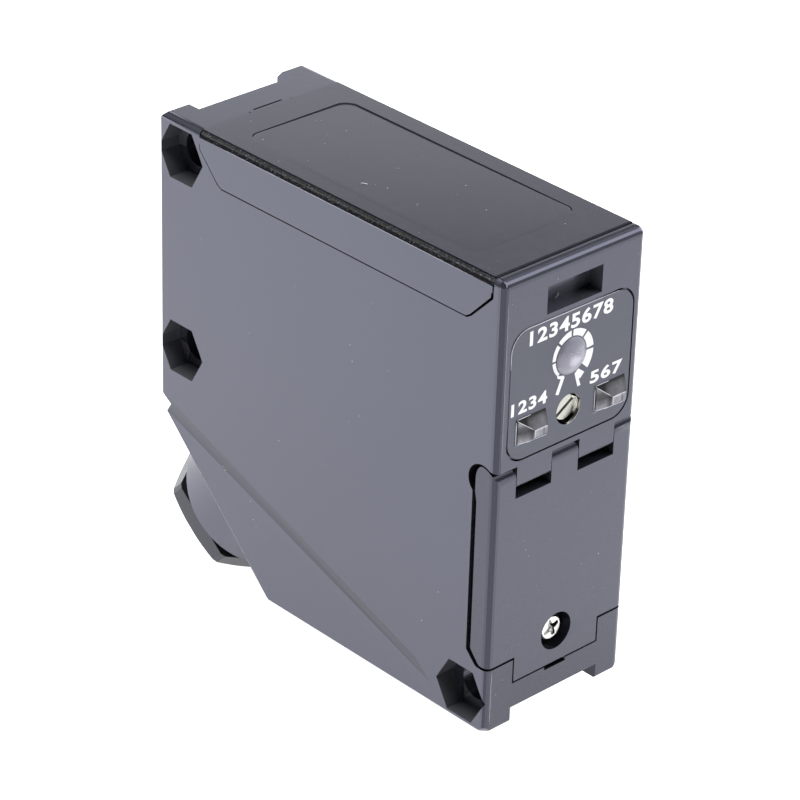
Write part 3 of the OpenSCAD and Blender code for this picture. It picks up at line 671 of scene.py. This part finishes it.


# clear indicator windows with painted reflections: each facet's colour carries its own pale and dark bands for the
# light it throws back
for name, y0, z0, y1, z1 in (("light_pipe_left", 3.3, 43.6, 8.6, 47.2), ("light_pipe_right", 17.7, 43.4, 23.2, 47.1)):
    o = NODES[name]
    M[name + "_side"] = lit_facet(name + "_side", "Z", z0, z1, [(0.0, 0.34), (0.20, 0.20), (0.42, 0.06), (0.62, 0.10), (0.82, 0.30), (0.93, 0.12), (1.0, 0.02)],
                                  "Y", y0, y0 + 2.9, [(0.0, 0.04), (0.08, 0.10), (0.14, 1.0), (0.62, 0.95), (0.84, 0.35), (0.93, 0.45), (0.97, 1.0)])
    M[name + "_top"] = lit_facet(name + "_top", "Y", y0, y1, [(0.0, 0.01), (0.30, 0.012), (0.42, 0.10), (0.62, 0.13), (0.86, 0.16), (1.0, 0.08)],
                                 "Z", z0 + 1.3, z1, [(0.0, 1.1), (0.55, 0.9), (0.80, 0.55), (0.90, 0.2), (1.0, 0.12)])
    M[name + "_face"] = lit_facet(name + "_face", "Z", z0, z0 + 1.5, [(0.0, 0.62), (0.16, 0.30), (0.75, 0.34), (0.88, 0.62), (1.0, 0.40)],
                                  "Y", y0 + 2.8, y1, [(0.0, 1.5), (0.12, 0.9), (0.60, 0.9), (0.70, 0.35), (0.78, 0.9), (1.0, 0.7)])
    for poly in o.data.polygons:
        n = poly.normal
        key = "_side" if n.y < -0.15 else "_top" if n.z > 0.15 else "_face" if n.x > 0.97 else None
        if key:
            poly.material_index = index_of(o, name + key)


# the head of the cover screw with its deep cross recess
def cross_depth(u, v):
    best = 0.0
    for a, b in ((u, v), (v, u)):
        wide = 0.30 + 0.20 * (1 - min(1, abs(a) / 1.45))
        best = max(best, 0.42 * smooth01((wide - abs(b)) / 0.16) * smooth01((1.45 - abs(a)) / 0.25))
    return max(best, 0.70 * smooth01((0.70 - math.hypot(u, v)) / 0.35))


def screw_head():
    bm = bmesh.new()
    cy, cz, R, turn = MID, 11.25, 1.9, math.radians(24)
    na, nr = 120, 40
    rings = []
    for i in range(1, nr + 1):
        rad = R * i / nr
        ring = []
        for k in range(na):
            a = math.tau * k / na
            y, z = rad * math.cos(a), rad * math.sin(a)
            u, v = y * math.cos(turn) + z * math.sin(turn), z * math.cos(turn) - y * math.sin(turn)
            h = 66.85 - 0.05 * (rad / R) ** 2 - 0.30 * smooth01((rad - 1.62) / 0.28) - cross_depth(u, v)
            ring.append(bm.verts.new(P(h, cy + y, cz + z)))
        rings.append(ring)
    mid_ = bm.verts.new(P(66.85 - cross_depth(0, 0), cy, cz))
    for k in range(na):
        bm.faces.new((mid_, rings[0][k], rings[0][(k + 1) % na]))
    for i in range(nr - 1):
        for k in range(na):
            bm.faces.new((rings[i][k], rings[i + 1][k], rings[i + 1][(k + 1) % na], rings[i][(k + 1) % na]))
    last = rings[-1]
    for rad, x in ((R, 65.75), (1.15, 65.75), (1.15, 61.4)):
        ring = [bm.verts.new(P(x, cy + rad * math.cos(math.tau * k / na), cz + rad * math.sin(math.tau * k / na))) for k in range(na)]
        for k in range(na):
            bm.faces.new((last[k], ring[k], ring[(k + 1) % na], last[(k + 1) % na]))
        last = ring
    bm.faces.new(last[::-1])
    bmesh.ops.recalc_face_normals(bm, faces=bm.faces)
    o = finish_piece(bm, "cover_screw_finished", "steel", "cover", ("cover_screw",), 40)
    # painted shade in the cross recess: its slopes take a greyer steel, its right arm and lower slopes the near-black
    # gap material
    low, side = index_of(o, "screw_grey"), index_of(o, "deep_gap")
    for poly in o.data.polygons:
        c = poly.center
        y, z = c.y * 1000 + OY - cy, c.z * 1000 + OZ - cz
        u, v = y * math.cos(turn) + z * math.sin(turn), z * math.cos(turn) - y * math.sin(turn)
        if math.hypot(u, v) < 1.6 and cross_depth(u, v) > 0.06:
            poly.material_index = side if u > 0.40 or (0.06 < cross_depth(u, v) < 0.3 and v < 0 and u > -0.5) else low


screw_head()


# ---------------------------------------------------------------- printed marks on the label
DY, DZ = 12.9, 53.4
PX0, PX1 = 67.69, 67.715


def dial_marks():
    bm = bmesh.new()
    gaps = [(225, 183), (177.5, 138), (132, 93), (87, 48), (42, 3), (-3, -42)]
    for a0, a1 in gaps:
        n = 10
        pts = []
        for i in range(n + 1):
            a = a0 + (a1 - a0) * i / n
            ro = 3.25 + (225 - a) / 290 * 1.05
            pts.append((DY + ro * math.cos(math.radians(a)), DZ + ro * math.sin(math.radians(a))))
        for i in range(n + 1):
            a = a1 + (a0 - a1) * i / n
            ri = 2.82 if a0 > -40 else 2.9
            pts.append((DY + ri * math.cos(math.radians(a)), DZ + ri * math.sin(math.radians(a))))
        slab(bm, pts, PX0, PX1)
    slab(bm, [(10.45, 51.2), (10.55, 50.80), (11.17, 50.5), (10.33, 48.5), (10.9, 48.27), (11.84, 50.55), (11.72, 50.85)], PX0, PX1)
    slab(bm, [(13.72, 50.45), (14.35, 51.0), (15.5, 50.12), (14.85, 49.45), (14.55, 49.42), (14.92, 48.35), (14.38, 48.32), (14.0, 49.5)], PX0, PX1)
    finish_piece(bm, "dial_marks", "print_white", "case")


dial_marks()


def numerals(name, text, y0, y1, z0, z1, bold=0.03):
    cu = bpy.data.curves.new(name + "_curve", "FONT")
    cu.body, cu.size, cu.offset, cu.extrude, cu.resolution_u = text, 1.0, bold, 0.01, 6
    cu.space_character = 1.12
    tmp = bpy.data.objects.new(name + "_tmp", cu)
    bpy.context.scene.collection.objects.link(tmp)
    dg = bpy.context.evaluated_depsgraph_get()
    me = bpy.data.meshes.new_from_object(tmp.evaluated_get(dg))
    bpy.data.objects.remove(tmp)
    bpy.data.curves.remove(cu)
    vs = [v.co.copy() for v in me.vertices]
    a = [min(v[i] for v in vs) for i in range(3)]
    b = [max(v[i] for v in vs) for i in range(3)]
    for v in me.vertices:
        t = [(v.co[i] - a[i]) / max(b[i] - a[i], 1e-9) for i in range(3)]
        v.co = P(PX0 + (PX1 - PX0) * t[2], y0 + (y1 - y0) * t[0], z0 + (z1 - z0) * t[1])
    me.name = name
    me.materials.clear()
    me.materials.append(M["print_white"])
    o = bpy.data.objects.new(name, me)
    link(o, "case")


numerals("numerals_top", "12345678", 5.1, 20.3, 57.35, 59.55)
numerals("numerals_left", "1234", 2.3, 8.8, 47.95, 49.85)
numerals("numerals_right", "567", 16.7, 22.7, 47.75, 49.65)

# ---------------------------------------------------------------- dust, lint and small scratches
rng = random.Random(7)


def speck(bm, c, n, size, flat=0.45):
    """A small irregular crumb lying on a face with normal n."""
    n = Vector(n).normalized()
    t = n.orthogonal().normalized()
    b = n.cross(t)
    turn = rng.uniform(0, math.tau)
    t, b = t * math.cos(turn) + b * math.sin(turn), b * math.cos(turn) - t * math.sin(turn)
    geom = bmesh.ops.create_icosphere(bm, subdivisions=2, radius=1.0)
    size *= 0.8
    sx, sy = size * rng.uniform(0.7, 1.3), size * rng.uniform(0.5, 1.0)
    for v in geom["verts"]:
        k = 1 + rng.uniform(-0.22, 0.22)
        p = v.co * k
        v.co = c + (t * p.x * sx + b * p.y * sy + n * p.z * size * flat) / 1000


def fibre(bm, pts, r):
    rings = []
    for i, p in enumerate(pts):
        q = pts[min(i + 1, len(pts) - 1)] - pts[max(i - 1, 0)]
        q.normalize()
        u = q.orthogonal().normalized()
        w = q.cross(u)
        rr = r * (0.4 if i in (0, len(pts) - 1) else 1)
        rings.append([bm.verts.new(p + (u * math.cos(a) + w * math.sin(a)) * rr / 1000) for a in (math.tau * k / 6 for k in range(6))])
    for i in range(len(rings) - 1):
        for k in range(6):
            bm.faces.new((rings[i][k], rings[i][(k + 1) % 6], rings[i + 1][(k + 1) % 6], rings[i + 1][k]))
    bm.faces.new(rings[0][::-1])
    bm.faces.new(rings[-1])


# painted highlights: thin pale beads laid along moulding edges where they catch the light
bm = bmesh.new()


def run(*pts, r=0.045, n=8):
    out = []
    for a, b in zip(pts[:-1], pts[1:]):
        for i in range(n):
            out.append(P(*[a[k] + (b[k] - a[k]) * i / n for k in range(3)]))
    out.append(P(*pts[-1]))
    fibre(bm, out, r)


def bend(cy, cz, rad, a0, a1, x, n=8):
    return [(x, cy + rad * math.cos(math.radians(a0 + (a1 - a0) * i / n)), cz + rad * math.sin(math.radians(a0 + (a1 - a0) * i / n))) for i in range(n + 1)]


run((67.67, 0.97, 66.6), (67.67, 0.97, 40.4), r=0.05)
run((67.67, 0.95, 9.7), (67.67, 0.95, 1.2), r=0.055)
run((1.0, 0.26, 21.3), (23.0, 0.27, 0.5), r=0.075)
run((9.2, -0.10, 66.98), (65.3, -0.10, 66.98), r=0.04)
finish_piece(bm, "edge_glints", "edge_light", "case", smooth=60)
bm = bmesh.new()
# painted highlights: pale beads round the near and top edge of the label plate, under the two windows and round the
# adjuster hole
run(*([(67.71, 1.89, 55.0), (67.71, 1.89, 57.1)] + bend(4.9, 57.1, 3.01, 180, 90, 67.71) + [(67.71, 21.2, 60.11)]), r=0.05, n=2)
for y0, y1, z0 in ((3.3, 8.6, 43.6), (17.7, 23.2, 43.4)):
    run((67.71, y0 - 0.15, z0 - 0.28), (67.71, y1 - 1.0, z0 - 0.28), r=0.03, n=6)
run(*bend(MID, 45.5, 2.22, -95, -20, 67.71, 12), r=0.035, n=1)
finish_piece(bm, "rim_glints", "rim_light", "case", smooth=60)
# the plate sits tight against its seat on the near side and along the top
bm = bmesh.new()
run(*([(67.56, 1.775, 41.9), (67.56, 1.775, 57.1)] + bend(4.9, 57.1, 3.125, 180, 90, 67.56) + [(67.56, 20.6, 60.225)]), r=0.135, n=3)
finish_piece(bm, "plate_bedding", "panel_plastic", "case", smooth=60)
bm = bmesh.new()
# painted highlights: pale beads along the edges and facet edges of the two windows
for y0, y1, z0, z1 in ((3.3, 8.6, 43.6, 47.2), (17.7, 23.2, 43.4, 47.1)):
    run((67.76, y0 + 0.03, z1 - 0.3), (67.76, y0 + 0.03, z0 + 0.05), (68.2, y0 + 1.9, z0 + 0.02), (68.35, y1 - 0.2, z0 + 0.05), r=0.05, n=5)
    run((67.78, y0 + 0.1, z1 - 0.1), (68.4, y0 + 2.9, z0 + 1.4), (68.4, y0 + 2.9, z0 + 0.3), r=0.045, n=5)
    run((68.4, y0 + 2.9, z0 + 1.4), (68.4, y1 - 0.2, z0 + 1.4), r=0.045, n=5)
    run((67.76, y0 + 0.15, z1), (67.76, y0 + 2.6, z1), r=0.05, n=5)
finish_piece(bm, "window_glints", "rim_light", "case", smooth=60)
# painted shade: two near-black discs beside the slot in front of the lid stand in for the shade inside two small vents
bm = bmesh.new()
for x, y, q in ((8.47, 9.02, 0.17), (8.52, 16.5, 0.12)):
    ring = [(q * math.cos(math.tau * k / 14), q * math.sin(math.tau * k / 14)) for k in range(14)]
    top = [bm.verts.new(P(x + a, y + b, 68.004)) for a, b in ring]
    low = [bm.verts.new(P(x + a, y + b, 67.9)) for a, b in ring]
    bm.faces.new(top)
    bm.faces.new(low[::-1])
    for k in range(14):
        bm.faces.new((top[(k + 1) % 14], top[k], low[k], low[(k + 1) % 14]))
finish_piece(bm, "front_dots", "deep_gap", "case")
bm = bmesh.new()
SIDE = [(15.5, 64.3, 0.15), (32.5, 65.3, 0.13), (37, 62.8, 0.11), (39.5, 47.8, 0.09), (40, 45.5, 0.10), (47, 47, 0.09), (25.5, 27, 0.13),
        (11.3, 18.7, 0.10), (13.6, 17.5, 0.17), (13.9, 17.1, 0.12), (19.3, 14.4, 0.09), (21.5, 16.6, 0.09), (20.0, 11.7, 0.11), (20.6, 10.8, 0.09),
        (22.5, 10.0, 0.08), (24.5, 8.5, 0.08), (27.0, 7.0, 0.08), (30.0, 8.6, 0.09), (30.3, 6.2, 0.08), (22.9, 1.6, 0.09), (58, 18, 0.14), (55, 12, 0.13)]
for x, z, q in SIDE:
    speck(bm, P(x, 0 if z > 24.2 - 0.344 * x else 0.23, z), (0, -1, 0), q)
for _ in range(18):
    x, z = rng.uniform(6, 62), rng.uniform(26, 59)
    speck(bm, P(x, 0, z), (0, -1, 0), rng.uniform(0.035, 0.07))
for y, z, q in ((9.7, 65.6, 0.12), (1.6, 64.6, 0.08), (24.6, 64.3, 0.07), (4.3, 33.0, 0.07), (6.3, 26.6, 0.10), (6.9, 25.4, 0.08), (20.4, 20.4, 0.12),
                (19.8, 15.3, 0.10), (24.9, 30.5, 0.09), (3.0, 7.5, 0.11), (1.9, 5.6, 0.10), (12.0, 30.5, 0.06), (17.2, 20.1, 0.06)):
    speck(bm, P(67.7, y, z), (1, 0, 0), q)
for _ in range(14):
    speck(bm, P(67.7, rng.uniform(1.5, 24), rng.uniform(12, 34)), (1, 0, 0), rng.uniform(0.03, 0.06))
for x, y, q in ((16.2, 4.7, 0.12), (16.1, 14.5, 0.07), (16.5, 14.9, 0.05), (21.2, 15.4, 0.06), (20.5, 12.4, 0.08), (44, 16, 0.12), (51, 13, 0.10), (38, 7.5, 0.08), (60.5, 18, 0.10)):
    speck(bm, P(x, y, 68 + recess(x, y)), (0, 0, 1), q)
for _ in range(22):
    x, y = rng.uniform(10, 64), rng.uniform(1.2, 24.6)
    speck(bm, P(x, y, 68 + recess(x, y)), (0, 0, 1), rng.uniform(0.03, 0.07))
fibre(bm, [P(65.3 + 0.04 * i * (4 - i), 11.6 + 0.2 * i, 61.15 + 0.16 * i) for i in range(5)], 0.08)
TOPZ = 67.84
fibre(bm, [P(34.56 + 0.235 * i, 5.72 + 0.165 * i, TOPZ + 0.08 + 0.02 * i * (4 - i)) for i in range(5)], 0.075)
fibre(bm, [P(33.9 + 0.2 * i, 12.3 + 0.12 * i + 0.05 * i * (4 - i), TOPZ + 0.06) for i in range(5)], 0.05)
for r0, a0, a1 in ((0.55, 20, 210), (0.28, -60, 120)):
    fibre(bm, [P(23.57 + r0 * math.cos(math.radians(a0 + (a1 - a0) * i / 9)), 6.7 + r0 * math.sin(math.radians(a0 + (a1 - a0) * i / 9)), TOPZ + 0.05) for i in range(10)], 0.04)
finish_piece(bm, "dust", "lint", "case")

# ---------------------------------------------------------------- light and floor
# A white sweep under a large overhead softbox, a second one to the right and behind, and a dark room in front.
world = bpy.data.worlds.new("studio")
bpy.context.scene.world = world
world.use_nodes = True
wn = world.node_tree
bg = wn.nodes["Background"]
wdir = wn.nodes.new("ShaderNodeTexCoord").outputs["Generated"]


def glow(direction, edge0, edge1, level):
    d = wn.nodes.new("ShaderNodeVectorMath")
    d.operation = "DOT_PRODUCT"
    wn.links.new(wdir, d.inputs[0])
    d.inputs[1].default_value = Vector(direction).normalized()
    r = wn.nodes.new("ShaderNodeMapRange")
    r.interpolation_type = "SMOOTHSTEP"
    r.inputs["From Min"].default_value, r.inputs["From Max"].default_value = edge0, edge1
    r.inputs["To Min"].default_value, r.inputs["To Max"].default_value = 0, level
    wn.links.new(d.outputs["Value"], r.inputs["Value"])
    return r.outputs["Result"]


def toward(az, el):
    az, el = math.radians(az), math.radians(el)
    return (math.cos(az) * math.cos(el), math.sin(az) * math.cos(el), math.sin(el))


overhead = glow((0, 0, 1), 0.88, 0.96, 4.6)
soft_right = glow(toward(55, 42), 0.90, 0.97, 4.2)
low_back = math_node(wn, "MULTIPLY", glow((0, 0, -1), -0.48, -0.35, 1.9), glow((-0.6, 0.8, 0), 0.0, 0.5, 1.0))
total = math_node(wn, "ADD", overhead, soft_right)
total = math_node(wn, "ADD", total, glow(toward(-142, 37), 0.86, 0.97, 0.4))
total = math_node(wn, "ADD", total, low_back)
total = math_node(wn, "ADD", total, 0.06)
bg.inputs["Color"].default_value = (0.97, 0.98, 1, 1)
wn.links.new(total, bg.inputs["Strength"])


def area(name, loc, target, size, power, size_y=None, col=(1, 1, 1)):
    d = bpy.data.lights.new(name, "AREA")
    d.energy = power
    d.size = size
    d.color = col
    if size_y:
        d.shape = "RECTANGLE"
        d.size_y = size_y
    o = bpy.data.objects.new(name, d)
    bpy.context.scene.collection.objects.link(o)
    o.location = loc
    o.rotation_mode = "QUATERNION"
    o.rotation_quaternion = (Vector(target) - Vector(loc)).to_track_quat("-Z", "Y")
    return o


area("floor_fill", P(-60, -90, 470), P(-20, -60, 0), 0.22, 2.0)

bm = bmesh.new()
bmesh.ops.create_grid(bm, x_segments=8, y_segments=8, size=3)
me = bpy.data.meshes.new("floor")
bm.to_mesh(me)
bm.free()
floor = bpy.data.objects.new("floor", me)
floor.location = (0.03, -0.013, P(0, 0, -5.75).z)
bpy.context.scene.collection.objects.link(floor)
fm, fnt, fbs = new_mat("floor_white")
fv = coords(fnt)
fnt.links.new(mix(fnt, ramp(fnt, noise(fnt, fv, 3, 2), 0.3, 0.7), (0.55, 0.55, 0.55), (0.58, 0.58, 0.58)), fbs.inputs["Base Color"])
fbs.inputs["Roughness"].default_value = 0.9
fbs.inputs["Emission Color"].default_value = (1, 1, 1, 1)
fbs.inputs["Emission Strength"].default_value = 1.0
# seen from below, the floor lets the underside of the part show
back = fnt.nodes.new("ShaderNodeNewGeometry")
glass, both = fnt.nodes.new("ShaderNodeBsdfTransparent"), fnt.nodes.new("ShaderNodeMixShader")
end = next(n_ for n_ in fnt.nodes if n_.type == "OUTPUT_MATERIAL")
fnt.links.new(back.outputs["Backfacing"], both.inputs[0])
fnt.links.new(fbs.outputs[0], both.inputs[1])
fnt.links.new(glass.outputs[0], both.inputs[2])
fnt.links.new(both.outputs[0], end.inputs["Surface"])
me.materials.append(fm)
